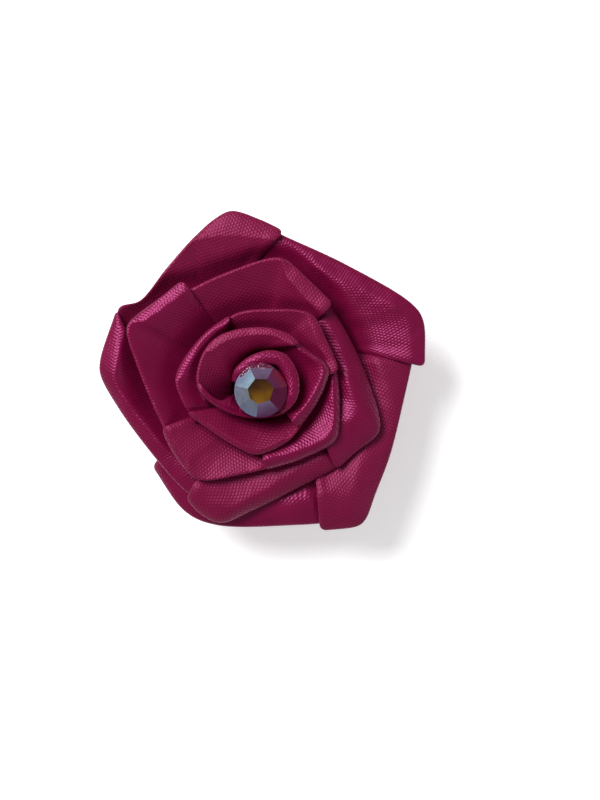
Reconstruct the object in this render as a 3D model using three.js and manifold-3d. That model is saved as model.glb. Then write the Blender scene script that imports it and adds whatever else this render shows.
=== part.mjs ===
// A ribbon rose boutonniere: one satin ribbon folded and wound clockwise into seventeen petals
// round a tight roll, a faceted flat-backed stone glued in the mouth of the roll, a felt disc
// on the back and a bar pin with a hinged needle and a turning safety collar.
// Millimetres. The flower faces +Z and lies on its pin; X is its width, Y its height.
// The origin is under the middle of the flower, on the surface that the pin rests on.

import * as THREE from 'three';
import { mergeVertices } from 'three/addons/utils/BufferGeometryUtils.js';
import Module from 'manifold-3d';

const wasm = await Module();
wasm.setup();

// ---------------------------------------------------------------- driving dimensions
const seatGap = 0.2; // between pieces that are glued or riveted together
const feltRadius = 15;
const feltThickness = 1.2;
const backCentre = [0.15, -1.25]; // the flower's weight is over this point

const barLength = 25;
const barWidth = 5.2;
const barThickness = 0.7;
const hingeX = -10.4; // the needle's rivet
const catchX = 9.2; // the middle of the safety catch
const needleHeight = 1.75; // axis of the needle, the rivet and the collar
const barBottom = 3.9;
const needleRadius = 0.45;
const runningGap = 0.1; // round the rivet

const feltBottom = barBottom + barThickness + seatGap;
const ribbonBottom = feltBottom + feltThickness + seatGap;

const rollCentre = [0.55, -1.73]; // the rolled start of the ribbon
const rollRadius = 4.65;
const rollTop = 20.1;
const stoneCentre = [-0.07, -2.69];
const stoneSeat = 18.6; // floor of the roll's mouth
const stoneRadius = 3.6; // a 7.2 mm stone
const stoneHeight = 2.6;
const stoneGirdle = 0.6;
const stoneTableRadius = 1.78;
const stoneCorners = [115, 171, 217, 257, 313, 370, 421]; // bearings of the table's corners
const glueThickness = 0.4;

const plateThickness = 0.9;
const ridgeOfFirst = 19.0; // crest of the innermost petal
const ridgeStep = 0.36; // fall of the crest from one petal to the next
const ridgeTilt = 0.3; // each petal starts this much lower and ends this much higher
const startTuck = 0.8; // a petal's start lies this much lower still, under the end of the last one
const startLead = 14; // degrees that a petal's start turns back under the last one at its root
const rootRadius = 4.2; // where a petal's start runs into the roll
const gatherTop = 15.4;

// ---------------------------------------------------------------- materials
const finish = (color, roughness, metalness) =>
  new THREE.MeshStandardMaterial({ color, roughness, metalness });

const satin = finish(0x7a1a46, 0.45, 0);
const felt = finish(0x6d1840, 0.95, 0);
const glass = finish(0x9aa6b4, 0.08, 0.1);
const glue = finish(0xb9aebb, 0.3, 0);
const steel = finish(0xb8babd, 0.3, 1);

// ---------------------------------------------------------------- helpers
function bare(geometry) {
  const plain = geometry.clone();
  plain.deleteAttribute('normal');
  plain.deleteAttribute('uv');
  return mergeVertices(plain, 1e-5);
}

function solid(geometry) {
  const closed = bare(geometry);
  return new wasm.Manifold(new wasm.Mesh({
    numProp: 3,
    vertProperties: new Float32Array(closed.attributes.position.array),
    triVerts: new Uint32Array(closed.index.array),
  }));
}

function geometryOf(manifold) {
  const mesh = manifold.getMesh();
  const geometry = new THREE.BufferGeometry();
  const positions = new Float32Array(mesh.vertProperties);
  geometry.setAttribute('position', new THREE.BufferAttribute(positions, 3));
  geometry.setIndex(new THREE.BufferAttribute(new Uint32Array(mesh.triVerts), 1));
  geometry.computeVertexNormals();
  return geometry;
}

function named(name, geometry, material) {
  const mesh = new THREE.Mesh(geometry, material);
  mesh.name = name;
  return mesh;
}

// A closed turned form about +Z, from a profile of [radius, height] points that starts and ends
// on the axis.
function turned(profile, sides, centre) {
  const points = profile.map(([radius, height]) => new THREE.Vector2(radius, height));
  const geometry = new THREE.LatheGeometry(points, sides);
  geometry.rotateX(Math.PI / 2);
  geometry.translate(centre[0], centre[1], 0);
  return geometry;
}

// A round bar between two points along X or Y.
function roundBar(radius, from, to, along, sides) {
  const geometry = new THREE.CylinderGeometry(radius, radius, to - from, sides);
  if (along === 'x') {
    geometry.rotateZ(-Math.PI / 2);
    geometry.translate((from + to) / 2, 0, 0);
  } else {
    geometry.translate(0, (from + to) / 2, 0);
  }
  return geometry;
}

function block(x, y, z) {
  const geometry = new THREE.BoxGeometry(x[1] - x[0], y[1] - y[0], z[1] - z[0]);
  geometry.translate((x[0] + x[1]) / 2, (y[0] + y[1]) / 2, (z[0] + z[1]) / 2);
  return geometry;
}

// ---------------------------------------------------------------- the ribbon's petals
// Each petal, from the innermost out: its rim as points in plan, read clockwise; the point that
// its last edge runs to; how far inside the rim its crest lies and how deep it falls from there to
// its root, each at even steps from its start to its end; how far the rim hangs below the crest;
// its cup, which is over 1 where the petal is steepest near the crest; and, for some, how far the
// crest sinks at even steps along it, and how many degrees its start turns back at its root.
const petals = [
  { rim: [[4.7, -4.2], [3.3, -5.7], [0, -6.4], [-3.6, -6], [-6.6, -4.6], [-8.6, -2.6],
      [-8.9, -0.8]],
    end: [-3.8, -3.1], inset: [0.6, 0.9], drop: 0.5, fall: [0.6, 1.4], cup: 0.8 },
  { rim: [[-8, -4.2], [-8.9, -1], [-7.7, 3], [-5.3, 5.1], [0, 6], [3.4, 5.2], [5.5, 3.6]],
    end: [0.6, 3], inset: [1, 1.3], drop: 0.275, fall: [7, 2.6], cup: 0.65, lead: 25 },
  { rim: [[3.6, 5], [6.3, 3], [9.2, 0.5], [8.7, -2], [7.2, -5], [5, -7.9]],
    end: [2.2, -4.4], inset: [0.6, 1.3], drop: 0.8, fall: [3.4, 3.2], cup: 0.85 },
  { rim: [[6.3, -6.4], [3.6, -9.6], [-0.6, -11.4], [-3.2, -10.5], [-7.9, -7.5], [-10.4, -5.6]],
    end: [-3.6, -4.6], inset: [1, 0.8], drop: 0.4, fall: [2.8, 2.8], cup: 0.9 },
  { rim: [[-9.2, -7.1], [-10.9, -4], [-11.8, -1.1], [-10.8, 1.5], [-7.6, 5.4], [-4.1, 7.9]],
    end: [-5.4, 2.4], inset: [1, 1.1], drop: 0.36, fall: [2.8, 2.8], cup: 1.2 },
  { rim: [[-6.3, 6], [-3.3, 8], [0.8, 8.5], [6.8, 7.8], [8.9, 4.2], [10.4, 0.6], [10.3, -0.4]],
    end: [5, -0.6], inset: [1, 1.4], drop: 0.275, fall: [2.8, 2.6], cup: 1.1 },
  { rim: [[9.8, 2], [10.5, -1.2], [10.7, -7.6], [10, -9.6], [5.6, -12], [0.3, -13.6]],
    end: [-0.4, -6], inset: [0.8, 1.5], drop: 0.85, fall: [3.4, 2.8], cup: 0.95 },
  { rim: [[2.5, -12.9], [-3, -14.2], [-8.4, -14.9], [-10.3, -13.6], [-12.4, -10.8], [-13.8, -7.7]],
    end: [-4.8, -4.4], inset: [1.2, 1], drop: 0.6, fall: [2.2, 2.4], cup: 1 },
  { rim: [[-12.1, -10.1], [-14.1, -6.4], [-16.7, -0.3], [-18.5, 5.8], [-17.9, 7], [-14.4, 9.7],
      [-10.8, 12.6]],
    end: [-4.2, 3.4], inset: [1.3, 1.5], drop: 0.42, fall: [5.4, 5], cup: 1.3 },
  { rim: [[-12.4, 10], [-5.5, 13.3], [1.6, 15.6], [3.2, 15.3], [6.6, 12.4], [9.9, 9.2]],
    end: [3.6, 3.4], inset: [1.2, 2.4], drop: 0.375, fall: [4.4, 4], cup: 1.2 },
  { rim: [[8.3, 10.7], [11.5, 5.7], [14.5, -0.8], [16.3, -7.2], [15.8, -8.8], [13.2, -10.9],
      [10.2, -13.6]],
    end: [6.2, -4.4], inset: [2.8, 5], drop: 1.5, fall: [2.2, 1.4], cup: 0.9 },
  { rim: [[12.1, -12.4], [6.6, -15.2], [-1.7, -19.3], [-5.6, -20.8], [-8.3, -19.7], [-10.5, -17.4]],
    end: [-4.2, -6.8], inset: [2.4, 2.8], drop: 1.1, fall: [1.2, 1.6], cup: 0.9 },
  { rim: [[-8, -18.6], [-11.3, -15.8], [-15.5, -10.9], [-19.6, -5.3], [-22.2, -0.6], [-22.3, 1.4],
      [-20, 8.6]],
    end: [-14, -4], inset: [1.8, 2.9], drop: 1.025, fall: [4, 4.4], cup: 1.6 },
  { rim: [[-20.1, 6.2], [-19.6, 8.8], [-16.8, 9.75], [-13.15, 14.15], [-9.4, 18.4], [-6.5, 21],
      [-4.2, 22.1], [-0.1, 20.85], [3.1, 19.3]],
    end: [-7, 8], inset: [0.4, 0.4, 0.4, 0.4, 0.5, 2.6, 3.6, 2.8, 1.6], drop: 0.6, fall: [2.8, 2.6],
      cup: 1.6 },
  { rim: [[-1.6, 20.3], [1, 19.7], [3.3, 18.6], [11.5, 14.8], [20.6, 9.4], [22.2, 7.2],
      [22.5, 0.6]],
    end: [6, 4.2], inset: [2.8, 2], drop: 0.35, fall: [3.4, 3], cup: 1.25, sink: [0, 0, 0.1, 0.9] },
  { rim: [[21.3, 3.7], [19.75, -3.2], [17.7, -11.5], [15.7, -16.8], [14.3, -20.4], [13.3, -21.3],
      [8, -22]],
    end: [6.6, -6], inset: [4.6, 5], drop: 1.2, fall: [1.2, 1.5], cup: 1, sink: [0.5, 0.1, 0, 0, 0],
      lead: 45 },
  { rim: [[10.5, -20.8], [5.2, -21.2], [-6.4, -21.2], [-10.6, -19.4], [-15.3, -13]],
    end: [-7, -6], inset: [4.8, 2.2], drop: 1.25, fall: [0.6, 2.2], cup: 0.9, sink: [0, 0, 1.2] },
];
const stations = 11; // along each rim
const insetSteps = [0, 0.5, 1]; // from the rim to the crest
const cupSteps = [0.22, 0.48, 0.74, 1]; // from the crest to the root

// A measure that is given at even steps along a petal's rim.
function spread(values, along) {
  const place = along * (values.length - 1);
  const i = Math.min(Math.floor(place), values.length - 2);
  return THREE.MathUtils.lerp(values[i], values[i + 1], place - i);
}

function petalPlate(petal, order) {
  const rim = new THREE.CatmullRomCurve3(
    petal.rim.map(([x, y]) => new THREE.Vector3(x, y, 0)), false, 'centripetal');
  const polar = ([x, y]) => {
    const away = [x - rollCentre[0], y - rollCentre[1]];
    return { angle: Math.atan2(away[1], away[0]), radius: Math.hypot(away[0], away[1]) };
  };
  const first = polar(petal.rim[0]);
  const last = polar(petal.end);
  const turn = first.angle + THREE.MathUtils.degToRad(petal.lead ?? startLead);
  let sweep = last.angle - turn;
  while (sweep > 0) sweep -= 2 * Math.PI; // the ribbon winds clockwise

  const rows = [];
  for (let i = 0; i < stations; i += 1) {
    const along = i / (stations - 1);
    const edge = rim.getPoint(along);
    const angle = turn + sweep * along;
    const radius = rootRadius + (last.radius - rootRadius) * along;
    const root = new THREE.Vector3(
      rollCentre[0] + radius * Math.cos(angle), rollCentre[1] + radius * Math.sin(angle), 0);
    const width = edge.distanceTo(root);
    const inset = Math.min(spread(petal.inset, along), 0.45 * width) / width;
    const fall = spread(petal.fall, along);
    let crest = ridgeOfFirst - ridgeStep * order + ridgeTilt * (2 * along - 1);
    crest -= spread(petal.sink ?? [0, 0], along);
    if (i === 0) crest -= startTuck;
    const row = [];
    for (const step of insetSteps) {
      const place = edge.clone().lerp(root, inset * step);
      place.z = crest - petal.drop * (1 - step) ** 2;
      row.push(place);
    }
    for (const step of cupSteps) {
      const place = edge.clone().lerp(root, inset + (1 - inset) * step);
      place.z = crest - fall * (1 - (1 - step) ** petal.cup);
      row.push(place);
    }
    rows.push(row);
  }
  return plate(rows, plateThickness);
}

// A closed plate of even thickness under a grid of points.
function plate(rows, thickness) {
  const down = rows.length;
  const across = rows[0].length;
  const layer = down * across;
  const positions = [];
  for (const sink of [0, thickness]) {
    for (const row of rows) {
      for (const place of row) positions.push(place.x, place.y, place.z - sink);
    }
  }
  const at = (i, j, side) => side * layer + i * across + j;
  const faces = [];
  const square = (a, b, c, d) => faces.push(a, b, c, a, c, d);
  for (let i = 0; i < down - 1; i += 1) {
    for (let j = 0; j < across - 1; j += 1) {
      square(at(i, j, 0), at(i + 1, j, 0), at(i + 1, j + 1, 0), at(i, j + 1, 0));
      faces.push(at(i, j, 1), at(i + 1, j + 1, 1), at(i + 1, j, 1));
      faces.push(at(i, j, 1), at(i, j + 1, 1), at(i + 1, j + 1, 1));
    }
  }
  for (let i = 0; i < down - 1; i += 1) {
    square(at(i, 0, 1), at(i + 1, 0, 1), at(i + 1, 0, 0), at(i, 0, 0));
    const end = across - 1;
    square(at(i + 1, end, 1), at(i, end, 1), at(i, end, 0), at(i + 1, end, 0));
  }
  for (let j = 0; j < across - 1; j += 1) {
    square(at(0, j + 1, 1), at(0, j, 1), at(0, j, 0), at(0, j + 1, 0));
    square(at(down - 1, j, 1), at(down - 1, j + 1, 1), at(down - 1, j + 1, 0), at(down - 1, j, 0));
  }
  const geometry = new THREE.BufferGeometry();
  geometry.setAttribute('position', new THREE.Float32BufferAttribute(positions, 3));
  geometry.setIndex(faces);
  return facingOut(geometry);
}

function facingOut(geometry) {
  const p = geometry.attributes.position;
  const index = geometry.index.array;
  const [a, b, c] = [new THREE.Vector3(), new THREE.Vector3(), new THREE.Vector3()];
  let volume = 0;
  for (let i = 0; i < index.length; i += 3) {
    a.fromBufferAttribute(p, index[i]);
    b.fromBufferAttribute(p, index[i + 1]);
    c.fromBufferAttribute(p, index[i + 2]);
    volume += a.dot(b.clone().cross(c));
  }
  if (volume < 0) {
    for (let i = 0; i < index.length; i += 3) [index[i], index[i + 1]] = [index[i + 1], index[i]];
  }
  return geometry;
}

// The gathered underside of the ribbon, which is glued to the felt, and the roll in the middle.
function gatheredBase() {
  const rise = gatherTop - ribbonBottom;
  return turned([
    [0, ribbonBottom], [13.6, ribbonBottom], [14.4, ribbonBottom + 0.5], [13.8, ribbonBottom + 1.2],
    [8.0, ribbonBottom + 0.35 * rise], [5.6, ribbonBottom + 0.75 * rise],
    [0, ribbonBottom + 0.8 * rise],
  ], 28, backCentre);
}

function roll() {
  return turned([
    [0, ribbonBottom + 1], [rollRadius - 0.3, ribbonBottom + 1],
    [rollRadius, rollTop - 1.2], [rollRadius - 0.2, rollTop - 0.4], [rollRadius - 0.75, rollTop],
    [rollRadius - 1.3, rollTop - 0.2], [0, rollTop - 0.5],
  ], 32, rollCentre);
}

function ribbonRose() {
  let rose = solid(roll()).add(solid(gatheredBase()));
  petals.forEach((petal, order) => {
    rose = rose.add(solid(petalPlate(petal, order)));
  });
  const mouth = turned([
    [0, stoneSeat], [stoneRadius + 0.25, stoneSeat], [stoneRadius + 0.3, rollTop + 2], [0, rollTop + 2],
  ], 32, stoneCentre);
  rose = rose.subtract(solid(mouth));
  const parts = rose.decompose().sort((one, other) => other.volume() - one.volume());
  return geometryOf(parts[0]);
}

// ---------------------------------------------------------------- the stone and its glue
// A round blank, cut by one plane for each facet of its crown.
function stone() {
  const base = stoneSeat + seatGap + glueThickness + seatGap;
  const top = base + stoneHeight;
  const blank = [[0, base], [stoneRadius, base], [stoneRadius, top], [0, top]];
  let gem = solid(turned(blank, 48, stoneCentre));
  stoneCorners.forEach((corner, k) => {
    const next = stoneCorners[k + 1] ?? stoneCorners[0] + 360;
    const half = THREE.MathUtils.degToRad((next - corner) / 2);
    const bearing = THREE.MathUtils.degToRad(corner) + half;
    const near = stoneTableRadius * Math.cos(half); // from the stone's axis to the table's edge
    const slope = Math.atan2(stoneHeight - stoneGirdle, stoneRadius - near);
    const facing = new THREE.Vector3(
      Math.cos(bearing) * Math.sin(slope), Math.sin(bearing) * Math.sin(slope), Math.cos(slope));
    const edge = new THREE.Vector3(
      stoneCentre[0] + near * Math.cos(bearing), stoneCentre[1] + near * Math.sin(bearing), top);
    gem = gem.trimByPlane([-facing.x, -facing.y, -facing.z], -facing.dot(edge));
  });
  return geometryOf(gem);
}

function glueDab() {
  const bottom = stoneSeat + seatGap;
  return turned([
    [0, bottom], [2.9, bottom], [3.1, bottom + glueThickness / 2], [2.9, bottom + glueThickness],
    [0, bottom + glueThickness],
  ], 24, stoneCentre);
}

// ---------------------------------------------------------------- the back
function feltDisc() {
  const top = feltBottom + feltThickness;
  return turned([
    [0, feltBottom], [0.4 * feltRadius, feltBottom], [feltRadius, feltBottom],
    [feltRadius, top], [0, top],
  ], 40, backCentre);
}

// The bar: a flat strip with rounded ends, two ears for the rivet and the housing of the catch.
// Worked out about the needle's own line (y = 0, z = 0) and then lifted.
const earThickness = 0.8;
const earRadius = needleHeight;
const eyeHalf = 0.7;
const earInside = eyeHalf + 0.25;
const rivetRadius = 0.4;
const boreRadius = 1.75;
const housingRadius = 2.55;
const housingHalf = 1.8;
const cheek = 0.5;
const wrapEnd = 43.3; // degrees below the needle's level where the housing's wall stops
const collarRadius = 1.45;
const collarBore = 0.75;
const collarHalf = 1.05;
const collarSlot = 1.2;
const tabAngle = 305;
const tabRadius = 1.95;
const tabWidth = 0.5;

function openSector(radius, half) {
  const shape = new THREE.Shape();
  const from = THREE.MathUtils.degToRad(180 + wrapEnd);
  const to = THREE.MathUtils.degToRad(360 - wrapEnd);
  shape.moveTo(0, 0);
  shape.lineTo(radius * Math.cos(from), radius * Math.sin(from));
  shape.lineTo(0, radius * -1.6);
  shape.lineTo(radius * Math.cos(to), radius * Math.sin(to));
  shape.closePath();
  return alongX(new THREE.ExtrudeGeometry(shape, { depth: 2 * half, bevelEnabled: false }), half);
}

// Stands an extrusion, drawn in plan as (y, z), along X and centres it.
function alongX(geometry, half) {
  geometry.applyMatrix4(new THREE.Matrix4().set(0, 0, 1, -half, 1, 0, 0, 0, 0, 1, 0, 0, 0, 0, 0, 1));
  return geometry;
}

function pinBar() {
  const low = barBottom - needleHeight;
  const high = low + barThickness;
  const straight = barLength / 2 - barWidth / 2;
  const outline = new THREE.Shape();
  outline.moveTo(-straight, -barWidth / 2);
  outline.lineTo(straight, -barWidth / 2);
  outline.absarc(straight, 0, barWidth / 2, -Math.PI / 2, Math.PI / 2, false);
  outline.lineTo(-straight, barWidth / 2);
  outline.absarc(-straight, 0, barWidth / 2, Math.PI / 2, 1.5 * Math.PI, false);
  const strip = new THREE.ExtrudeGeometry(
    outline, { depth: high - low, bevelEnabled: false, curveSegments: 10 });
  strip.translate(0, 0, low);
  let bar = solid(strip);
  for (const side of [-1, 1]) {
    const span = [side * earInside, side * (earInside + earThickness)].sort((a, b) => a - b);
    const round = roundBar(earRadius, span[0], span[1], 'y', 24);
    round.translate(hingeX, 0, 0);
    const leg = block([hingeX - earRadius, hingeX + earRadius], span, [0, low + 0.3]);
    bar = bar.add(solid(round)).add(solid(leg));
  }
  const rivetHole = roundBar(rivetRadius + runningGap, -4, 4, 'y', 24);
  rivetHole.translate(hingeX, 0, 0);
  bar = bar.subtract(solid(rivetHole));
  const shell = roundBar(housingRadius, catchX - housingHalf, catchX + housingHalf, 'x', 40);
  const hollow = housingHalf - cheek;
  const bore = roundBar(boreRadius, catchX - hollow, catchX + hollow, 'x', 40);
  const eyelet = roundBar(1.2, catchX - 4, catchX + 4, 'x', 32);
  const mouth = openSector(4, 2.2);
  mouth.translate(catchX, 0, 0);
  const roof = block([catchX - housingHalf, catchX + housingHalf], [-1.4, 1.4], [2.0, low + 0.3]);
  const housing = solid(shell).add(solid(roof)).subtract(solid(bore)).subtract(solid(eyelet))
    .subtract(solid(mouth));
  return geometryOf(bar.add(housing));
}

function rivet() {
  const outside = earInside + earThickness;
  let pin = solid(roundBar(rivetRadius, -outside - 0.35, outside + 0.35, 'y', 24));
  for (const side of [-1, 1]) {
    const near = side * (outside + 0.1);
    const far = side * (outside + 0.45);
    pin = pin.add(solid(roundBar(0.8, Math.min(near, far), Math.max(near, far), 'y', 24)));
  }
  const geometry = geometryOf(pin);
  geometry.translate(hingeX, 0, 0);
  return geometry;
}

// The needle points along X from its eye to a tip just past the catch.
function needle() {
  const reach = catchX + housingHalf + 0.6 - hingeX;
  const wire = new THREE.LatheGeometry([
    [0, 0.5], [needleRadius, 0.5], [needleRadius, reach - 3],
    [0.32, reach - 1.2], [0.1, reach], [0, reach],
  ].map(([radius, along]) => new THREE.Vector2(radius, along)), 16);
  wire.rotateZ(-Math.PI / 2);
  const eye = solid(roundBar(1.1, -eyeHalf, eyeHalf, 'y', 24));
  const hole = solid(roundBar(rivetRadius + runningGap, -2, 2, 'y', 24));
  return geometryOf(eye.add(solid(wire)).subtract(hole));
}

function collar() {
  const barrel = solid(roundBar(collarRadius, -collarHalf, collarHalf, 'x', 32));
  const bore = solid(roundBar(collarBore, -2, 2, 'x', 24));
  const slot = solid(block([-2, 2], [-collarSlot / 2, collarSlot / 2], [-3, 0]));
  const tab = block(
    [-collarHalf, collarHalf], [collarRadius - 0.3, tabRadius], [-tabWidth / 2, tabWidth / 2]);
  tab.rotateX(THREE.MathUtils.degToRad(tabAngle));
  return geometryOf(barrel.add(solid(tab)).subtract(bore).subtract(slot));
}

// ---------------------------------------------------------------- the object
const flower = new THREE.Group();
flower.add(named('satin_ribbon', ribbonRose(), satin));
flower.add(named('rhinestone', stone(), glass));
flower.add(named('glue_dab', glueDab(), glue));
flower.add(named('felt_backing', feltDisc(), felt));

const pin = new THREE.Group();
pin.position.set(backCentre[0], backCentre[1], needleHeight);
pin.add(named('pin_bar', pinBar(), steel));
pin.add(named('hinge_rivet', rivet(), steel));
const pinNeedle = named('pin_needle', needle(), steel);
pinNeedle.position.x = hingeX;
pin.add(pinNeedle);
const catchCollar = named('catch_collar', collar(), steel);
catchCollar.position.x = catchX;
pin.add(catchCollar);
flower.add(pin);

export default flower;
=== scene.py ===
# A ribbon rose boutonniere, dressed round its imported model: satin ribbon folded into a rose, a coated
# stone glued in its centre, and a felt disc with a bar pin on its back. Lengths are in millimetres
# until a mesh is made.
import math

import bmesh
import bpy
import numpy as np
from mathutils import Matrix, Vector, noise


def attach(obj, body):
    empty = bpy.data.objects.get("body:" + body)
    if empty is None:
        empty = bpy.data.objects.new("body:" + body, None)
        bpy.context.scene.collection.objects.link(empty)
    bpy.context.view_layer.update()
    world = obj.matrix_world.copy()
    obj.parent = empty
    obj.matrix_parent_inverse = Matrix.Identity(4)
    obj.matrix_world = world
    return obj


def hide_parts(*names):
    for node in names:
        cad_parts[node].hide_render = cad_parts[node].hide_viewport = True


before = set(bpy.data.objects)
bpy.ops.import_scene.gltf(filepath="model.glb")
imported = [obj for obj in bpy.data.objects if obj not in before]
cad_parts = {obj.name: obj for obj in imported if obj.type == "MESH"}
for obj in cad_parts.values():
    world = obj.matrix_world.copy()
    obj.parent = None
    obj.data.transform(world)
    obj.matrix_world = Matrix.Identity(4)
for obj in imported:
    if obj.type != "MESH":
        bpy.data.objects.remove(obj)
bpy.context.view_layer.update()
mm = 0.001


# ---- small helpers

def linear(hexColour):
    # sRGB hex to linear RGBA
    steps = [int(hexColour[i:i + 2], 16) / 255 for i in (1, 3, 5)]
    return [c / 12.92 if c <= 0.04045 else ((c + 0.055) / 1.055) ** 2.4 for c in steps] + [1]


def setInputs(tree, node, values):
    # a value is a constant, a socket, or a node whose first output is meant
    for key, value in values.items():
        if isinstance(value, bpy.types.Node):
            tree.links.new(value.outputs[0], node.inputs[key])
        elif isinstance(value, bpy.types.NodeSocket):
            tree.links.new(value, node.inputs[key])
        elif isinstance(key, str) and key not in node.inputs:
            setattr(node, key, value)
        else:
            node.inputs[key].default_value = value


def addNode(tree, kind, values=None):
    node = tree.nodes.new(kind)
    setInputs(tree, node, values or {})
    return node


def newMaterial(name):
    material = bpy.data.materials.new(name)
    material.use_nodes = True
    tree = material.node_tree
    tree.nodes.clear()
    shader = addNode(tree, "ShaderNodeBsdfPrincipled")
    addNode(tree, "ShaderNodeOutputMaterial", {"Surface": shader.outputs[0]})
    return material, tree, shader


def smooth(x):
    x = min(max(x, 0.0), 1.0)
    return x * x * (3 - 2 * x)


def mix(a, b, share):
    return a + (b - a) * share


def spread(values, t):
    # a measure that is given at even steps of a petal's rim
    return float(np.interp(t, np.linspace(0, 1, len(values)), values))


def newObject(name, points, faces, uvs=None):
    mesh = bpy.data.meshes.new(name)
    mesh.from_pydata([[c * mm for c in p] for p in points], [], faces)
    if uvs is not None:
        layer = mesh.uv_layers.new(name="weave")
        for loop in mesh.loops:
            layer.data[loop.index].uv = uvs[loop.vertex_index]
    mesh.polygons.foreach_set("use_smooth", [True] * len(mesh.polygons))
    thing = bpy.data.objects.new(name, mesh)
    bpy.context.scene.collection.objects.link(thing)
    return thing


def applyModifiers(thing):
    graph = bpy.context.evaluated_depsgraph_get()
    mesh = bpy.data.meshes.new_from_object(thing.evaluated_get(graph), depsgraph=graph)
    thing.modifiers.clear()
    thing.data = mesh
    return thing


# ---- camera and light

view = {"centre": (5.24, -3.93), "frameHeight": 110.4, "lens": 150, "sensor": 36, "rimHeight": 12}

camera = bpy.data.objects.new("camera", bpy.data.cameras.new("camera"))
camera.data.lens = view["lens"]
camera.data.sensor_width = view["sensor"]
camera.data.clip_start = 0.01
distance = view["frameHeight"] * view["lens"] / view["sensor"] + view["rimHeight"]
camera.location = (view["centre"][0] * mm, view["centre"][1] * mm, distance * mm)
bpy.context.scene.collection.objects.link(camera)
bpy.context.scene.camera = camera
bpy.context.scene.view_settings.view_transform = "Standard"

lamps = {
    "key": {"place": (-0.30, 0.27, 0.55), "size": 0.36, "power": 5.65},
    "fill": {"place": (0.5, -0.3, 0.5), "size": 0.7, "power": 0.5},
}
surroundings = {"strength": 0.31, "floorGlow": 0.42, "floorReach": 2000}

for name, lamp in lamps.items():
    light = bpy.data.lights.new(name, "AREA")
    light.shape = "DISK"
    light.size = lamp["size"]
    light.energy = lamp["power"]
    thing = bpy.data.objects.new(name, light)
    thing.location = lamp["place"]
    thing.rotation_euler = (-Vector(lamp["place"])).to_track_quat("-Z", "Y").to_euler()
    bpy.context.scene.collection.objects.link(thing)

world = bpy.data.worlds.new("studio")
world.use_nodes = True
world.node_tree.nodes["Background"].inputs["Color"].default_value = (1, 1, 1, 1)
world.node_tree.nodes["Background"].inputs["Strength"].default_value = surroundings["strength"]
bpy.context.scene.world = world

# opal acrylic, lit from below as for a cut-out picture: shadows on it stay pale
floorMaterial, floorTree, floorShader = newMaterial("opal acrylic light table")
setInputs(floorTree, floorShader, {
    "Base Color": linear("#f6f5f6"), "Roughness": 0.9, "Emission Color": (1, 1, 1, 1),
    "Emission Strength": surroundings["floorGlow"]})
reach = surroundings["floorReach"]
floor = newObject("floor", [(-reach, -reach, 0), (reach, -reach, 0), (reach, reach, 0), (-reach, reach, 0)],
                  [(0, 1, 2, 3)])
floor.data.materials.append(floorMaterial)
print("camera, light and floor are set")


# ---- finishes

weave = {
    "dash": (0.44, 0.46, 0.22),  # spacing across, row spacing, stagger
    "dashWaves": (0.5, 0.06, 0.44),  # how strongly each of the three waves counts
    "knot": (0.53, 0.37, 0.265),
    "knotWaves": (0.34, 0.32, 0.34),
    "depth": 0.016, "dashDepth": 1.3, "knotDepth": 1.6,  # the last two times depth
}


def lattice(tree, u, v, spacing, weights):
    # three waves that cross in one staggered lattice of bumps, from -1 to 1
    across, along, stagger = spacing
    first = (1 / across, -stagger / (across * along))
    second = (0.0, 1 / along)
    third = (first[0] + second[0], first[1] + second[1])
    total = 0.0
    for wave, weight in zip((first, second, third), weights):
        part = addNode(tree, "ShaderNodeMath", {"operation": "MULTIPLY", 0: v, 1: 2 * math.pi * wave[1]})
        phase = addNode(tree, "ShaderNodeMath", {
            "operation": "MULTIPLY_ADD", 0: u, 1: 2 * math.pi * wave[0], 2: part})
        swing = addNode(tree, "ShaderNodeMath", {"operation": "COSINE", 0: phase})
        total = addNode(tree, "ShaderNodeMath", {"operation": "MULTIPLY_ADD", 0: swing, 1: weight, 2: total})
    return total


def weaveCoordinates(tree, wander=0.5):
    uv = addNode(tree, "ShaderNodeUVMap", {"uv_map": "weave"})
    drift = addNode(tree, "ShaderNodeTexNoise", {"Vector": uv, "Scale": 0.35, "Detail": 2.0})
    shifted = addNode(tree, "ShaderNodeVectorMath", {
        "operation": "MULTIPLY_ADD", 0: drift.outputs["Color"], 1: (wander, wander, 0), 2: uv})
    parts = addNode(tree, "ShaderNodeSeparateXYZ", {0: shifted})
    return uv, parts.outputs[0], parts.outputs[1]


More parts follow.
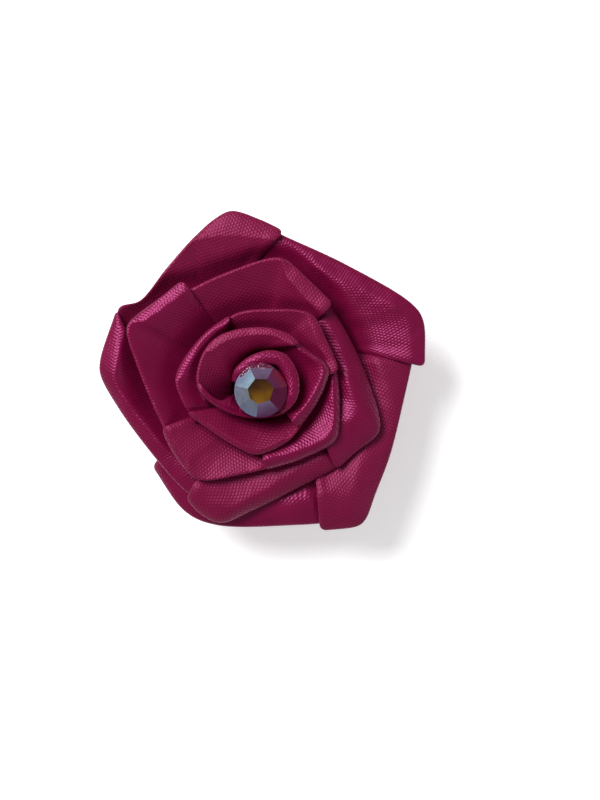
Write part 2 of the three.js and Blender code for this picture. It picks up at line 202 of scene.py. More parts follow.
def satinFace():
    # polyester satin, face side: floats of warp lie close together over the weft, so the surface is
    # smooth and glossy, and where it glints the floats show as short dashes
    material, tree, shader = newMaterial("polyester satin face")
    uv, u, v = weaveCoordinates(tree)
    dashes = lattice(tree, u, v, weave["dash"], weave["dashWaves"])
    stretched = addNode(tree, "ShaderNodeVectorMath", {"operation": "MULTIPLY", 0: uv, 1: (4.0, 0.9, 1.0)})
    threads = addNode(tree, "ShaderNodeTexNoise", {
        "Vector": stretched, "Scale": 1.0, "Detail": 3.0, "Roughness": 0.6})
    height = addNode(tree, "ShaderNodeMath", {"operation": "MULTIPLY_ADD", 0: threads, 1: 1.2, 2: dashes})
    bump = addNode(tree, "ShaderNodeBump", {
        "Strength": 1.0, "Distance": weave["dashDepth"] * weave["depth"] * mm, "Height": height})
    patch = addNode(tree, "ShaderNodeTexNoise", {"Vector": uv, "Scale": 0.22, "Detail": 3.0})
    shade = addNode(tree, "ShaderNodeMath", {"operation": "MULTIPLY_ADD", 0: dashes, 1: 0.06, 2: patch})
    colour = addNode(tree, "ShaderNodeMix", {
        "data_type": "RGBA", "Factor": shade, 6: linear("#5c0529"), 7: linear("#6f0934")})
    setInputs(tree, shader, {
        "Base Color": colour.outputs[2], "Normal": bump, "Roughness": 0.33, "Specular IOR Level": 0.66,
        "Specular Tint": linear("#ff7ec4"), "Sheen Weight": 0.05, "Sheen Roughness": 0.4,
        "Sheen Tint": linear("#c84894")})
    return material


def satinBack():
    # the same ribbon's reverse: weft and warp cross in a lattice of small knots, duller than the face
    # but each knot catches the light
    material, tree, shader = newMaterial("polyester satin reverse")
    uv, u, v = weaveCoordinates(tree)
    knots = lattice(tree, u, v, weave["knot"], weave["knotWaves"])
    bump = addNode(tree, "ShaderNodeBump", {
        "Strength": 1.0, "Distance": weave["knotDepth"] * weave["depth"] * mm, "Height": knots})
    patch = addNode(tree, "ShaderNodeTexNoise", {"Vector": uv, "Scale": 0.22, "Detail": 3.0})
    ground = addNode(tree, "ShaderNodeMix", {
        "data_type": "RGBA", "Factor": patch, 6: linear("#5c0529"), 7: linear("#6f0932")})
    tops = addNode(tree, "ShaderNodeMath", {"operation": "SMOOTH_MAX", 0: knots, 1: 0.0, 2: 0.3})
    # knot tops are lifted towards pink in colour: a faint painted glint, on top of the real gloss that their
    # lower roughness gives
    share = addNode(tree, "ShaderNodeMath", {"operation": "MULTIPLY", 0: tops, 1: 0.12})
    colour = addNode(tree, "ShaderNodeMix", {
        "data_type": "RGBA", "Factor": share, 6: ground.outputs[2], 7: linear("#a83a70")})
    rough = addNode(tree, "ShaderNodeMath", {"operation": "MULTIPLY_ADD", 0: tops, 1: -0.14, 2: 0.46})
    setInputs(tree, shader, {
        "Base Color": colour.outputs[2], "Normal": bump, "Roughness": rough, "Specular IOR Level": 0.58,
        "Specular Tint": linear("#ff86be"), "Sheen Weight": 0.06, "Sheen Roughness": 0.4,
        "Sheen Tint": linear("#c84888")})
    return material


# ---- the ribbon

# repeats the rose's plan. Of each petal: its rim read clockwise, the point that its last edge runs to,
# how far in from the rim its crest lies, how far the rim lies below the crest, and how far the crest
# sinks, each at even steps from its start to its end. fold is the rim point where the selvedge gives
# way to the rolled fold, and ramp the length that it takes. nose is the fold's radius. fall is the drop
# from crest to root, fallShare how early it is reached and cup its course. soft is how far the crest is
# rounded and round the course of the band outside it. lead turns the start back under the last petal,
# bow hollows the last edge, ribs are the weave's angles at the two ends, and back shows the reverse.
ribbon = {
    "rollCentre": (0.55, -1.73), "ridgeOfFirst": 19.0, "ridgeStep": 0.36, "ridgeTilt": 0.3,
    "rootRadius": 4.2, "lead": 14, "thickness": 0.14, "gap": 0.75, "selvedgeRadius": 0.24,
    "stationStep": 0.36, "endRound": 0.9, "endPinch": 0.45, "lip": 0.16, "tuck": 0.8,
    "wrinkle": 0.13, "selvedgeInset": 0.35, "selvedgeDrop": 0.1, "round": 1.8, "ramp": 1.6,
}
petals = [
    dict(rim=[(4.7, -4.2), (3.3, -5.7), (0, -6.4), (-3.6, -6.0), (-6.6, -4.6), (-8.6, -2.6), (-8.9, -0.8)],
         end=(-3.8, -3.1), inset=(0.6, 0.9), drop=(0.5, 0.5), nose=0.5, fold=0, fall=(0.6, 1.4), cup=0.8,
         bow=1.9, ribs=(-70, -20), back=False),
    dict(rim=[(-8.0, -4.2), (-8.9, -1.0), (-7.7, 3.0), (-5.3, 5.1), (0, 6.0), (3.4, 5.2), (5.5, 3.6)],
         end=(0.6, 3.0), inset=(1.0, 1.3), drop=(0.35, 0.2), nose=0.32, fold=2, fall=(7.0, 2.6),
         fallShare=0.4, cup=0.65, lead=25, ribs=(50, -10), back=True),
    dict(rim=[(3.6, 5.0), (6.3, 3.0), (9.2, 0.5), (8.7, -2.0), (7.2, -5.0), (5.0, -7.9)],
         end=(2.2, -4.4), inset=(0.6, 1.3), drop=(0.8, 0.8), nose=0.42, fold=0, fall=(3.4, 3.2), cup=0.85,
         soft=0.3, ribs=(-25, -9), back=False),
    dict(rim=[(6.3, -6.4), (3.6, -9.6), (-0.6, -11.4), (-3.2, -10.5), (-7.9, -7.5), (-10.4, -5.6)],
         end=(-3.6, -4.6), inset=(1.0, 0.8), drop=(0.4, 0.4), nose=0.32, fold=1, fall=(2.8, 2.8), cup=0.9,
         ribs=(16, 44), back=True),
    dict(rim=[(-9.2, -7.1), (-10.9, -4.0), (-11.8, -1.1), (-10.8, 1.5), (-7.6, 5.4), (-4.1, 7.9)],
         end=(-5.4, 2.4), inset=(1.0, 1.1), drop=(0.36, 0.36), nose=0.6, fold=2, fall=(2.8, 2.8), cup=1.2,
         soft=0.3, ribs=(-20, -47), back=False),
    dict(rim=[(-6.3, 6.0), (-3.3, 8.0), (0.8, 8.5), (6.8, 7.8), (8.9, 4.2), (10.4, 0.6), (10.3, -0.4)],
         end=(5.0, -0.6), inset=(1.0, 1.4), drop=(0.35, 0.2), nose=0.32, fold=3, fall=(2.8, 2.6), cup=1.1,
         ribs=(2, -18), back=True),
    dict(rim=[(9.8, 2.0), (10.5, -1.2), (10.7, -7.6), (10.0, -9.6), (5.6, -12.0), (0.3, -13.6)],
         end=(-0.4, -6.0), inset=(0.8, 1.5), drop=(0.8, 0.9), nose=0.55, fold=0, fall=(3.4, 2.8), cup=0.95,
         soft=0.4, ribs=(-34, -62), back=False),
    dict(rim=[(2.5, -12.9), (-3.0, -14.2), (-8.4, -14.9), (-10.3, -13.6), (-12.4, -10.8), (-13.8, -7.7)],
         end=(-4.8, -4.4), inset=(1.2, 1.0), drop=(0.6, 0.6), nose=0.32, fold=3, fall=(2.2, 2.4), cup=1.0,
         soft=0.3, ribs=(5, 5), back=True),
    dict(rim=[(-12.1, -10.1), (-14.1, -6.4), (-16.7, -0.3), (-18.5, 5.8), (-17.9, 7.0), (-14.4, 9.7),
              (-10.8, 12.6)],
         end=(-4.2, 3.4), inset=(1.3, 1.5), drop=(0.42, 0.42), nose=0.32, fold=4, fall=(5.4, 5.0), cup=1.3,
         round=1.3, soft=0.8, ribs=(-25, -50), back=False),
    dict(rim=[(-12.4, 10.0), (-5.5, 13.3), (1.6, 15.6), (3.2, 15.3), (6.6, 12.4), (9.9, 9.2)],
         end=(3.6, 3.4), inset=(1.2, 2.4), drop=(0.6, 0.15), nose=0.32, fold=3, fall=(4.4, 4.0), cup=1.2,
         ribs=(18, 18), back=True),
    dict(rim=[(8.3, 10.7), (11.5, 5.7), (14.5, -0.8), (16.3, -7.2), (15.8, -8.8), (13.2, -10.9),
              (10.2, -13.6)],
         end=(6.2, -4.4), inset=(2.8, 5.0), drop=(1.5, 1.5), nose=0.4, fold=0, fall=(2.2, 1.4), cup=0.9,
         soft=0.8, ribs=(-26, -40), back=False),
    dict(rim=[(12.1, -12.4), (6.6, -15.2), (-1.7, -19.3), (-5.6, -20.8), (-8.3, -19.7), (-10.5, -17.4)],
         end=(-4.2, -6.8), inset=(2.4, 2.8), drop=(1.1, 1.1), nose=0.32, fold=0, fall=(1.2, 1.6), cup=0.9,
         soft=0.6, ribs=(36, 36), back=True),
    dict(rim=[(-8.0, -18.6), (-11.3, -15.8), (-15.5, -10.9), (-19.6, -5.3), (-22.2, -0.6), (-22.3, 1.4),
              (-20.0, 8.6)],
         end=(-14.0, -4.0), inset=(1.8, 2.9), drop=(0.9, 1.15), nose=0.4, fold=0, fall=(4.0, 4.4), cup=1.6,
         round=1.3, soft=1.0, ribs=(16, -12), back=False),
    dict(rim=[(-20.1, 6.2), (-19.6, 8.8), (-16.8, 9.75), (-13.15, 14.15), (-9.4, 18.4), (-6.5, 21.0),
              (-4.2, 22.1), (-0.1, 20.85), (3.1, 19.3)],
         end=(-7.0, 8.0), inset=(0.4, 0.4, 0.4, 0.4, 0.5, 2.6, 3.6, 2.8, 1.6), drop=(0.6, 0.6), nose=0.32,
         fold=4, ramp=1.2, fall=(2.8, 2.6), cup=1.6, ribs=(-15, -15), back=True),
    dict(rim=[(-1.6, 20.3), (1.0, 19.7), (3.3, 18.6), (11.5, 14.8), (20.6, 9.4), (22.2, 7.2), (22.5, 0.6)],
         end=(6.0, 4.2), inset=(2.8, 2.0), drop=(0.35, 0.35), nose=0.4, fold=0, fall=(3.4, 3.0), cup=1.25,
         round=1.4, soft=2.0, sink=(0, 0, 0.1, 0.9), ribs=(56, 4), back=False),
    dict(rim=[(21.3, 3.7), (19.75, -3.2), (17.7, -11.5), (15.7, -16.8), (14.3, -20.4), (13.3, -21.3),
              (8.0, -22.0)],
         end=(6.6, -6.0), inset=(4.6, 5.0), drop=(0.8, 1.6), nose=0.32, fold=0, fall=(1.2, 1.5), cup=1.0,
         soft=0.8, sink=(0.5, 0.1, 0, 0, 0), lead=45, ribs=(15, 15), back=True),
    dict(rim=[(10.5, -20.8), (5.2, -21.2), (-6.4, -21.2), (-10.6, -19.4), (-15.3, -13.0)],
         end=(-7.0, -6.0), inset=(4.8, 2.2), drop=(1.3, 1.2), nose=0.4, fold=0, fall=(0.6, 2.2), cup=0.9,
         sink=(0, 0, 1.2), ribs=(58, 128), back=False),
]
roll = {
    "rim": [(-4.1, -1.4), (-3.7, 0.2), (-1.7, 2.0), (1.1, 2.85), (3.3, 2.3), (4.8, 0.2), (5.2, -1.9),
            (4.8, -3.9), (3.2, -5.6), (0, -6.3), (-3.0, -6.0)],
    "top": 20.1, "low": 18.5, "band": 1.7, "foot": 14.5, "stone": (-0.07, -2.69), "crease": 0.14,
    "step": 0.3,
}


def catmullRom(points, t):
    # centripetal, so that close points make a tight corner without a loop
    points = [np.array(p, float) for p in points]
    place = (len(points) - 1) * t
    i = min(int(place), len(points) - 2)
    w = place - i
    a = points[i - 1] if i else 2 * points[0] - points[1]
    b, c = points[i], points[i + 1]
    d = points[i + 2] if i + 2 < len(points) else 2 * points[-1] - points[-2]
    h = [math.sqrt(np.linalg.norm(q - p)) for p, q in ((a, b), (b, c), (c, d))]
    m1 = ((b - a) / h[0] - (c - a) / (h[0] + h[1]) + (c - b) / h[1]) * h[1]
    m2 = ((c - b) / h[1] - (d - b) / (h[1] + h[2]) + (d - c) / h[2]) * h[1]
    return b + m1 * w + (3 * (c - b) - 2 * m1 - m2) * w ** 2 + (2 * (b - c) + m1 + m2) * w ** 3


def walkRim(points, step, endRound=0.0):
    # places along a rim, evenly spaced but closer where its last corner is rounded: the share of the
    # spline, the point and the distance walked of each, the whole length, and the distances of the knots
    shares = np.linspace(0, 1, 300)
    dense = np.array([catmullRom(points, t) for t in shares])
    walked = np.concatenate([[0], np.cumsum(np.linalg.norm(np.diff(dense, axis=0), axis=1))])
    total = walked[-1]
    count = max(int((total - endRound) / step), 8)
    stops = list(np.linspace(0, total - endRound, count + 1))
    if endRound:
        stops += [total - endRound * (1 - math.sin(math.radians(a))) for a in range(12, 91, 13)]
    places = np.stack([np.interp(stops, walked, dense[:, k]) for k in (0, 1)], axis=1)
    knots = np.interp(np.linspace(0, 1, len(points)), shares, walked)
    return np.interp(stops, walked, shares), places, stops, total, knots


def ringReach(ring):
    # how far a ring of petals reaches from the roll, for each degree, with its steps softened
    centre = np.array(ribbon["rollCentre"])
    reach = np.zeros(360)
    rims = [roll["rim"]]
    if ring >= 0:
        rims = [petal["rim"] for petal in petals[slice(*rings[ring]["petals"])]]
    for rim in rims:
        for t in np.linspace(0, 1, 200):
            away = catmullRom(rim, t) - centre
            degree = int(math.degrees(math.atan2(away[1], away[0]))) % 360
            reach[degree] = max(reach[degree], np.linalg.norm(away))
    known = np.flatnonzero(reach)
    soften = 6  # degrees to each side
    whole = np.interp(np.arange(-soften, 361 + soften), known, reach[known], period=360)
    span = 2 * soften + 1
    return np.convolve(whole, np.ones(span) / span, "valid")


# the rings that the petals stand in: near the ring above it, a petal dives under by this much
rings = [
    {"petals": (0, 4), "dive": 0.3, "diveWidth": 1.0},
    {"petals": (4, 8), "dive": 0.5, "diveWidth": 1.2},
    {"petals": (8, 12), "dive": 0.8, "diveWidth": 1.6},
    {"petals": (12, 17), "dive": 1.5, "diveWidth": 2.4},
]
diveSide = {"bearing": 80, "least": 0.22, "rest": 0.78}  # deepest towards this bearing


def petalSheet(petal, order):
    # a grid of points on the petal's outer skin, from under the fold, round it and over to the root,
    # with each point's place in the flat weave
    r = ribbon
    centre = np.array(r["rollCentre"])
    ts, places, stops, total, knots = walkRim(petal["rim"], r["stationStep"], r["endRound"])
    tangents = np.gradient(places, stops, axis=0)
    first = np.array(petal["rim"][0]) - centre
    last = np.array(petal["end"]) - centre
    startAngle = math.atan2(first[1], first[0]) + math.radians(petal.get("lead", r["lead"]))
    sweep = math.atan2(last[1], last[0]) - startAngle
    while sweep > 0:
        sweep -= 2 * math.pi
    crestBase = r["ridgeOfFirst"] - r["ridgeStep"] * order
    ring = next(k for k, ring in enumerate(rings) if order < ring["petals"][1])
    above = ringReach(ring - 1)
    rows, uvRows = [], []
    uRim = vRim = 0.0
    for k, (t, edge) in enumerate(zip(ts, places)):
        ribAngle = math.radians(mix(*petal["ribs"], t))
        rib = np.array([math.cos(ribAngle), math.sin(ribAngle)])
        ribNormal = np.array([-rib[1], rib[0]])
        if k:
            stride = edge - places[k - 1]
            uRim += stride @ ribNormal
            vRim += stride @ rib
        angle = startAngle + sweep * t
        radius = mix(r["rootRadius"], np.linalg.norm(last), t)
        root = centre + radius * np.array([math.cos(angle), math.sin(angle)])
        width = np.linalg.norm(root - edge)
        inward = (root - edge) / width
        fold = 1.0
        if petal["fold"]:
            fold = smooth((stops[k] - knots[petal["fold"]]) / petal.get("ramp", r["ramp"]) + 0.3)
        inset = mix(r["selvedgeInset"], min(spread(petal["inset"], t), 0.45 * width), fold)
        drop = mix(r["selvedgeDrop"], spread(petal["drop"], t), fold)
        nose = mix(r["selvedgeRadius"], petal["nose"], fold)
        fall = mix(*petal["fall"], smooth(t / petal.get("fallShare", 1)))
        remaining = total - stops[k]
        corner = 1 - min(remaining / r["endRound"], 1)
        pull = r["endRound"] * (1 - math.sqrt(1 - corner ** 2))
        closing = 1 - min(remaining / r["endPinch"], 1)
        pinch = math.sqrt(1 - closing ** 2)
        nose = mix(r["selvedgeRadius"], nose, pinch)
        gap = mix(2 * r["selvedgeRadius"], r["gap"], pinch)
        crest = crestBase + r["ridgeTilt"] * (2 * t - 1) - 0.5 * (r["gap"] - gap)
        crest -= spread(petal.get("sink", (0, 0)), t)
        ending = (remaining - r["endRound"]) / r["endRound"]
        crest += r["lip"] * math.exp(-ending ** 2) - r["tuck"] * (1 - smooth(stops[k] / 3))

        def topHeight(w):
            if w < inset:
                return crest - drop * (1 - w / inset) ** petal.get("round", r["round"])
            past = (w - inset) ** 2 / (w - inset + petal.get("soft", 0) + 1e-6)
            return crest - fall * (1 - (1 - min(past / (width - inset), 1)) ** petal["cup"])

        slope = math.atan2(topHeight(pull + nose) - topHeight(pull), nose)
        lean = np.array([-math.sin(slope), math.cos(slope)])  # off the skin, in the section's plane
        out = np.array([-math.cos(slope), -math.sin(slope)])
        start = pull + nose * (1 - math.sin(slope))  # where the fold's arc meets the skin
        hub = np.array([start, topHeight(start)]) - nose * lean
        section = []
        for share in (1, 0.75, 0.5, 0.3, 0.15, 0.05):
            w = mix(start, 0.6 * width, share)
            section.append((w, topHeight(w) - mix(2 * nose, gap, smooth(share * 3))))
        for turn in (180, 150, 120, 90, 60, 30, 0):
            bearing = math.radians(turn)
            section.append(tuple(hub + nose * (math.cos(bearing) * lean + math.sin(bearing) * out)))
        crestStart = max(inset, start * 1.15)
        crossing = [mix(start, crestStart, share) for share in (0.2, 0.4, 0.6, 0.8, 0.94)]
        crossing += [mix(crestStart, width, share) for share in
                     (0, 0.015, 0.04, 0.08, 0.13, 0.19, 0.26, 0.34, 0.43, 0.53, 0.65, 0.8, 1)]
        section += [(w, topHeight(w)) for w in crossing]

        lengths = [math.dist(p, q) for p, q in zip(section, section[1:])]
        tip = 9  # the outermost point of the fold
        row, uvRow = [], []
        for i, (w, z) in enumerate(section):
            along = sum(lengths[tip:i]) if i >= tip else -sum(lengths[i:tip])
            hollow = petal.get("bow", 0) * math.sin(math.pi * min(w / width, 1))
            hollow *= smooth((t - 0.55) / 0.45)
            place = edge + inward * w - tangents[k] * hollow
            ripple = noise.noise((place[0] * 0.3, place[1] * 0.3, order * 3.1)) + \
                0.45 * noise.noise((place[0] * 0.8, place[1] * 0.8, order * 1.7))
            out = place - centre
            bearing = math.degrees(math.atan2(out[1], out[0])) % 360
            clear = np.linalg.norm(out) - np.interp(bearing, range(361), above)
            side = math.cos(math.radians(bearing - diveSide["bearing"]))
            dive = rings[ring]["dive"] * (diveSide["least"] + diveSide["rest"] * smooth((side + 0.5) / 1.5))
            z -= dive * smooth(1 - clear / rings[ring]["diveWidth"])
            row.append((place[0], place[1], z + r["wrinkle"] * ripple))
            uvRow.append((uRim + along * (inward @ ribNormal), vRim + along * (inward @ rib)))
        rows.append(row)
        uvRows.append(uvRow)
    return rows, uvRows


def rollSheet():
    # the ribbon's rolled start: up its outer wall, over the rounded band and down inside
    ts, places, stops = walkRim(roll["rim"], roll["step"])[:3]
    tangents = np.gradient(places, stops, axis=0)
    tangents /= np.linalg.norm(tangents, axis=1)[:, None]
    rows, uvRows = [], []
    for k, edge in enumerate(places):
        inward = np.array([tangents[k][1], -tangents[k][0]])
        away = np.linalg.norm(edge + inward * 0.8 - np.array(roll["stone"]))
        top = mix(roll["low"], roll["top"], smooth((away - 2.9) / 1.6)) - 0.4 * smooth((ts[k] - 0.8) / 0.2)
        band = roll["band"] * mix(0.8, 1.15, smooth((away - 3.2) / 1.6))
        section = [(0.5, roll["foot"]), (0.3, top - 3.0), (0.12, top - 1.8), (0.03, top - 1.1)]
        for turn in range(0, 181, 20):
            bearing = math.radians(180 - turn)
            section.append((band / 2 * (1 + math.cos(bearing)), top - 0.7 + 0.7 * math.sin(bearing)))
        section += [(band + 0.05, top - 1.2), (band + 0.2, top - 2.0), (band + 0.9, top - 3.2)]
        lengths = [math.dist(p, q) for p, q in zip(section, section[1:])]
        row, uvRow = [], []
        for i, (w, z) in enumerate(section):
            place = edge + inward * w
            crease = noise.noise((w * 2.4, stops[k] * 0.22, 5.0)) \
                + 0.5 * noise.noise((w * 6, stops[k] * 0.5, 8.0))
            row.append((place[0], place[1], z + roll["crease"] * crease))
            uvRow.append((sum(lengths[:i]), stops[k]))
        rows.append(row)
        uvRows.append(uvRow)
    return rows, uvRows


gathers = {"centre": (0.15, -1.25), "bottom": 6.0, "radius": 14.2, "pleats": 34, "depth": 0.28,
           "steps": 204}


def gatheredBack():
    # the underside, where the ribbon's lower edges are drawn together and glued to the felt
    g = gathers
    profile = [(13.2, 0.05), (13.9, 0.1), (14.3, 0.6), (14.1, 1.1), (13.2, 1.7), (11.5, 2.4), (9.5, 3.2),
               (7.6, 4.4), (6.2, 6.2), (5.4, 8.4)]
    rows, uvRows = [], []
    for k in range(g["steps"] + 1):
        angle = -2 * math.pi * k / g["steps"]
        row, uvRow = [], []
        walked = 0.0
        for i, (radius, height) in enumerate(profile):
            wave = math.cos(g["pleats"] * angle + 2.2 * noise.noise((math.cos(angle), math.sin(angle), 4)))
            radius += g["depth"] * wave * smooth(i / 3)
            row.append((g["centre"][0] + radius * math.cos(angle), g["centre"][1] + radius * math.sin(angle),
                        g["bottom"] + height))
            walked += math.dist(profile[i], profile[i - 1]) if i else 0
            uvRow.append((g["radius"] * angle, walked))
        rows.append(row)
        uvRows.append(uvRow)
    return rows, uvRows


def makeRibbon():
    points, uvs, faces, kinds = [], [], [], []
    sheets = [(*petalSheet(petal, order), int(petal["back"])) for order, petal in enumerate(petals)]
    sheets += [(*rollSheet(), 0), (*gatheredBack(), 1)]
    for rows, uvRows, kind in sheets:
        start = len(points)
        across = len(rows[0])
        for row, uvRow in zip(rows, uvRows):
            points += row
            uvs += uvRow
        for i in range(len(rows) - 1):
            for j in range(across - 1):
                a = start + i * across + j
                faces.append((a, a + 1, a + across + 1, a + across))
                kinds.append(kind)
    thing = newObject("ribbon_rose", points, faces, uvs)
    thing.data.materials.append(satinFace())
    thing.data.materials.append(satinBack())
    thing.data.polygons.foreach_set("material_index", kinds)
    solidify = thing.modifiers.new("thickness", "SOLIDIFY")
    solidify.thickness = ribbon["thickness"] * mm
    solidify.offset = -1
    return applyModifiers(thing)


rose = makeRibbon()
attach(rose, "flower")
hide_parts("satin_ribbon")
print("ribbon rose:", len(rose.data.polygons), "faces")


# ---- the stone and its glue

stone = {
    "centre": (-0.07, -2.69), "base": 19.35, "radius": 3.6, "girdle": 0.6, "height": 2.6,
    "sides": 64, "table": 1.78, "corners": (115, 171, 217, 257, 313, 10, 61),
    # the table's tints are a painted highlight, brightest towards the bottom corner; each facet's pair,
    # inner and outer, is its painted reflection, palest on the facets towards the light, with a painted red
    # glint on one outer edge
    "tableHighlightTints": ("#2a1802", "#301c02", "#402802", "#74500c", "#563a04", "#503204", "#362002"),
    "facetReflectionTints": (("#6e8892", "#666e86"), ("#545a5e", "#5a6070"), ("#586068", "#586078"),
                   ("#70607e", "#54204a"), ("#52082e", "#580630"), ("#4e1a40", "#600620"),
                   ("#4c3850", "#5c4a64")),  # each inner, outer
}


def coatedGlass():
    # flint glass with an iridescent vapour coat over a foiled back; its colour is each facet's painted
    # reflection and the table's painted highlight, partly the coat's own tint, varied a little by a cloud
    material, tree, shader = newMaterial("iridescent coated glass")
    tint = addNode(tree, "ShaderNodeAttribute", {"attribute_name": "paintedFacetReflection"})
    place = addNode(tree, "ShaderNodeTexCoord")
    cloud = addNode(tree, "ShaderNodeTexNoise", {
        "Vector": place.outputs["Object"], "Scale": 900.0, "Detail": 4.0})
    lift = addNode(tree, "ShaderNodeMath", {"operation": "MULTIPLY_ADD", 0: cloud, 1: 0.8, 2: 0.6})
    colour = addNode(tree, "ShaderNodeMix", {
        "data_type": "RGBA", "blend_type": "MULTIPLY", "Factor": 1.0, 6: tint, 7: lift})
    setInputs(tree, shader, {
        "Base Color": colour.outputs[2], "Roughness": 0.14, "IOR": 1.5, "Specular Tint": linear("#9c88c0")})
    return material


def makeStone():
    # a blank is cut by one plane for each facet, as on the wheel, so every facet is flat
    s = stone
    count = len(s["corners"])
    centre = Vector((*s["centre"], 0))
    blank = bmesh.new()
    bmesh.ops.create_cone(blank, cap_ends=True, segments=s["sides"], radius1=s["radius"],
                          radius2=s["radius"], depth=s["height"])
    bmesh.ops.translate(blank, verts=blank.verts, vec=centre + Vector((0, 0, s["base"] + s["height"] / 2)))
    cuts = []
    for k, corner in enumerate(s["corners"]):
        half = (s["corners"][(k + 1) % count] - corner) % 360 / 2
        bearing = math.radians(corner + half)
        near = s["table"] * math.cos(math.radians(half))
        slope = math.atan2(s["height"] - s["girdle"], s["radius"] - near)
        normal = Vector((math.cos(bearing) * math.sin(slope), math.sin(bearing) * math.sin(slope),
                         math.cos(slope)))
        edge = centre + Vector((near * math.cos(bearing), near * math.sin(bearing), s["base"] + s["height"]))
        cuts.append(normal)
        bmesh.ops.bisect_plane(blank, geom=blank.verts[:] + blank.edges[:] + blank.faces[:], plane_co=edge,
                               plane_no=normal, clear_outer=True, dist=1e-4)
        bmesh.ops.holes_fill(blank, edges=[e for e in blank.edges if e.is_boundary])
    bmesh.ops.dissolve_limit(blank, angle_limit=0.002, verts=blank.verts, edges=blank.edges)
    bmesh.ops.recalc_face_normals(blank, faces=blank.faces)
    blank.normal_update()
    # each facet takes its painted reflection colour, and the table its painted highlight, into a colour
    # attribute
    reflectionLayer = blank.loops.layers.float_color.new("paintedFacetReflection")
    for face in blank.faces:
        match = max(range(count), key=lambda k: face.normal.dot(cuts[k]))
        for loop in face.loops:
            offset = loop.vert.co - centre
            away = math.hypot(offset.x, offset.y)
            if face.normal.z > 0.99:
                nearest = min(range(count), key=lambda k: abs((math.degrees(
                    math.atan2(offset.y, offset.x)) - s["corners"][k] + 180) % 360 - 180))
                loop[reflectionLayer] = linear(s["tableHighlightTints"][nearest])
            else:
                inner, outer = (Vector(linear(tint)) for tint in s["facetReflectionTints"][match])
                loop[reflectionLayer] = inner.lerp(outer, smooth((away - s["table"]) / (s["radius"] - s["table"])))
    bmesh.ops.scale(blank, vec=(mm, mm, mm), verts=blank.verts)
    mesh = bpy.data.meshes.new("stone")
    blank.to_mesh(mesh)
    blank.free()
    thing = bpy.data.objects.new("stone", mesh)
    bpy.context.scene.collection.objects.link(thing)
    thing.data.materials.append(coatedGlass())
    return thing


gem = makeStone()
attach(gem, "flower")
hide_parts("rhinestone")
print("stone is cut")


def setGlue():
    # clear hot-melt glue, cloudy with bubbles over the stone's edge; past it the ribbon shows through
    material, tree, shader = newMaterial("clear hot-melt glue")
    place = addNode(tree, "ShaderNodeTexCoord")
    bubbles = addNode(tree, "ShaderNodeTexVoronoi", {"Vector": place.outputs["Object"], "Scale": 2600.0})
    colour = addNode(tree, "ShaderNodeMix", {
        "data_type": "RGBA", "Factor": bubbles, 6: linear("#a99ab4"), 7: linear("#4e2c48")})
    level = addNode(tree, "ShaderNodeVectorMath", {
        "operation": "MULTIPLY", 0: place.outputs["Object"], 1: (1, 1, 0)})
    centre = tuple(c * mm for c in stone["centre"]) + (0,)
    away = addNode(tree, "ShaderNodeVectorMath", {"operation": "DISTANCE", 0: level, 1: centre})
    past = addNode(tree, "ShaderNodeMapRange", {
        "Value": away.outputs["Value"], "From Min": 2.9 * mm, "From Max": 3.3 * mm})
    shown = addNode(tree, "ShaderNodeMix", {
        "data_type": "RGBA", "Factor": past, 6: colour.outputs[2], 7: linear("#560e34")})
    bump = addNode(tree, "ShaderNodeBump", {"Strength": 0.9, "Distance": 0.00014, "Height": bubbles})
    setInputs(tree, shader, {"Base Color": shown.outputs[2], "Normal": bump, "Roughness": 0.16})
    return material


glue = {"radius": 3.35, "spill": 0.5, "spillAt": 105, "spillWidth": 45, "bottom": 18.45, "top": 19.5,
        "bead": (44, 150), "beadSteps": 44, "beadRadius": 0.66, "beadOut": 3.2, "beadHeight": 20.1}


def makeGlue():
    g = glue
    count = 72
    levels = [(0.0, 0.0), (0.9, 0.0), (1.0, 0.3), (1.02, 0.6), (0.98, 0.9), (0.85, 1.0), (0.0, 1.0)]
    points, faces = [], []
    for share, rise in levels:
        for i in range(count):
            angle = 2 * math.pi * i / count
            away = (math.degrees(angle) - g["spillAt"] + 180) % 360 - 180
            radius = g["radius"] + g["spill"] * math.exp(-(away / g["spillWidth"]) ** 2)
            radius += 0.08 * noise.noise((2 * math.cos(angle), 2 * math.sin(angle), rise * 2))
            points.append((stone["centre"][0] + radius * share * math.cos(angle),
                           stone["centre"][1] + radius * share * math.sin(angle),
                           mix(g["bottom"], g["top"], rise)))
    for level in range(len(levels) - 1):
        for i in range(count):
            j = (i + 1) % count
            a, b = level * count, (level + 1) * count
            faces.append((a + i, a + j, b + j, b + i))
    start, sides = len(points), 12
    for k in range(g["beadSteps"] + 1):  # squeezed up over the stone's edge
        share = k / g["beadSteps"]
        angle = math.radians(mix(*g["bead"], share))
        swell = g["beadRadius"] * math.sqrt(max(math.sin(math.pi * share), 0.002))
        swell *= 1 + 0.35 * noise.noise((share * 9, 0, 3))
        for side in range(sides):
            turn = 2 * math.pi * side / sides
            radius = g["beadOut"] + swell * math.cos(turn)
            points.append((stone["centre"][0] + radius * math.cos(angle),
                           stone["centre"][1] + radius * math.sin(angle),
                           g["beadHeight"] + 0.8 * swell * math.sin(turn)))
    for k in range(g["beadSteps"]):
        for side in range(sides):
            a, b = start + k * sides + side, start + k * sides + (side + 1) % sides
            faces.append((a, b, b + sides, a + sides))
    thing = newObject("glue", points, faces)
    thing.data.materials.append(setGlue())
    return thing


dab = makeGlue()
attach(dab, "flower")
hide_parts("glue_dab")


# ---- the felt disc

felt = {"centre": (0.15, -1.25), "radius": 14.9, "bottom": 4.8, "top": 6.05, "edge": 0.35, "steps": 160}


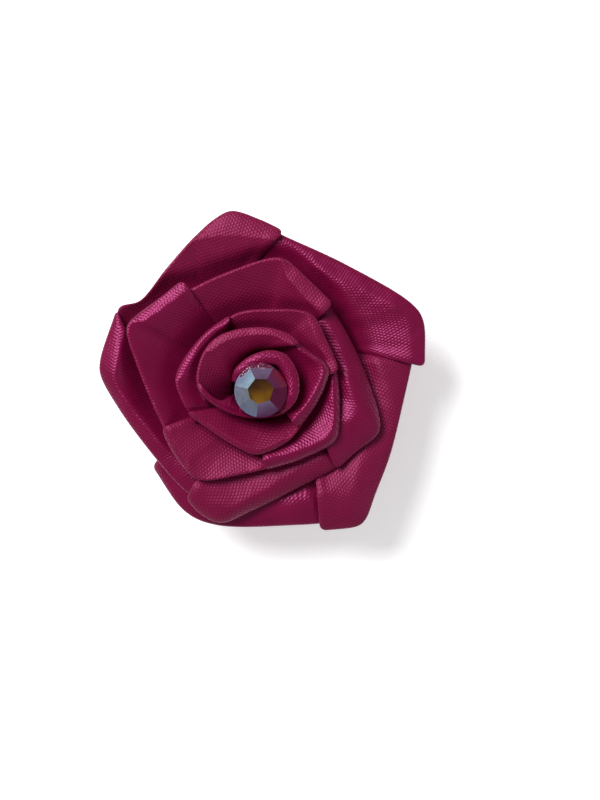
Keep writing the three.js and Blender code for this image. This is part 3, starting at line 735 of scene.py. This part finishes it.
def woolFelt():
    # pressed craft felt: matt, with tangled fibres that catch the light one by one
    material, tree, shader = newMaterial("pressed wool felt")
    place = addNode(tree, "ShaderNodeTexCoord")
    fibres = addNode(tree, "ShaderNodeTexNoise", {
        "Vector": place.outputs["Object"], "Scale": 1400.0, "Detail": 6.0, "Roughness": 0.7,
        "Distortion": 2.5})
    mottle = addNode(tree, "ShaderNodeTexNoise", {
        "Vector": place.outputs["Object"], "Scale": 220.0, "Detail": 3.0})
    half = addNode(tree, "ShaderNodeMath", {"operation": "MULTIPLY", 0: mottle, 1: 0.4})
    shade = addNode(tree, "ShaderNodeMath", {"operation": "MULTIPLY_ADD", 0: fibres, 1: 0.8, 2: half})
    colour = addNode(tree, "ShaderNodeMix", {
        "data_type": "RGBA", "Factor": shade, 6: linear("#3f0d26"), 7: linear("#8c2757")})
    bump = addNode(tree, "ShaderNodeBump", {"Strength": 1.0, "Distance": 0.0001, "Height": fibres})
    setInputs(tree, shader, {
        "Base Color": colour.outputs[2], "Normal": bump, "Roughness": 0.95, "Sheen Weight": 0.5,
        "Sheen Tint": linear("#c06a95")})
    return material


def makeFelt():
    f = felt
    count = f["steps"]
    middle = (f["bottom"] + f["top"]) / 2
    half = (f["top"] - f["bottom"]) / 2
    profile = [(0.02, -half), (3, -half), (6, -half), (9, -half), (12, -half), (f["radius"] - 0.5, -half)]
    for turn in range(-75, 76, 25):
        profile.append((f["radius"] - f["edge"] + f["edge"] * math.cos(math.radians(turn)),
                        half * math.sin(math.radians(turn))))
    profile += [(f["radius"] - 0.5, half), (12, half), (6, half), (0.02, half)]
    points, faces = [], []
    for radius, height in profile:
        for i in range(count):
            angle = 2 * math.pi * i / count
            x, y = math.cos(angle), math.sin(angle)
            cut = 0.12 * noise.noise((3 * x, 3 * y, 0)) + 0.06 * noise.noise((14 * x, 14 * y, 2))
            r = radius * (1 + cut / f["radius"])
            lift = 0.05 * noise.noise((r * x * 0.8, r * y * 0.8, height))
            points.append((f["centre"][0] + r * x, f["centre"][1] + r * y, middle + height + lift))
    for level in range(len(profile) - 1):
        for i in range(count):
            j = (i + 1) % count
            a, b = level * count, (level + 1) * count
            faces.append((a + i, a + j, b + j, b + i))
    faces.append(tuple(range(count - 1, -1, -1)))
    faces.append(tuple((len(profile) - 1) * count + i for i in range(count)))
    thing = newObject("felt_disc", points, faces)
    thing.data.materials.append(woolFelt())
    return thing


backing = makeFelt()
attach(backing, "flower")
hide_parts("felt_backing")
print("felt is cut")


# ---- the pin

def nickelPlate():
    # pressed steel under bright nickel: a clear reflection, softened by tumbling marks
    material, tree, shader = newMaterial("nickel-plated steel")
    place = addNode(tree, "ShaderNodeTexCoord")
    stretched = addNode(tree, "ShaderNodeMapping", {
        "Vector": place.outputs["Object"], "Scale": (120, 1600, 1600)})
    marks = addNode(tree, "ShaderNodeTexNoise", {"Vector": stretched, "Scale": 1.0, "Detail": 4.0})
    cloud = addNode(tree, "ShaderNodeTexNoise", {
        "Vector": place.outputs["Object"], "Scale": 500.0, "Detail": 3.0})
    rough = addNode(tree, "ShaderNodeMath", {"operation": "MULTIPLY_ADD", 0: marks, 1: 0.22, 2: 0.12})
    colour = addNode(tree, "ShaderNodeMix", {
        "data_type": "RGBA", "Factor": cloud, 6: linear("#b3aea6"), 7: linear("#d8d5cf")})
    bump = addNode(tree, "ShaderNodeBump", {"Strength": 0.3, "Distance": 0.00002, "Height": marks})
    setInputs(tree, shader, {
        "Base Color": colour.outputs[2], "Normal": bump, "Roughness": rough, "Metallic": 1.0})
    return material


plating = nickelPlate()
for node in ("pin_bar", "hinge_rivet", "pin_needle", "catch_collar"):
    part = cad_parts[node]
    part.data.materials.clear()
    part.data.materials.append(plating)
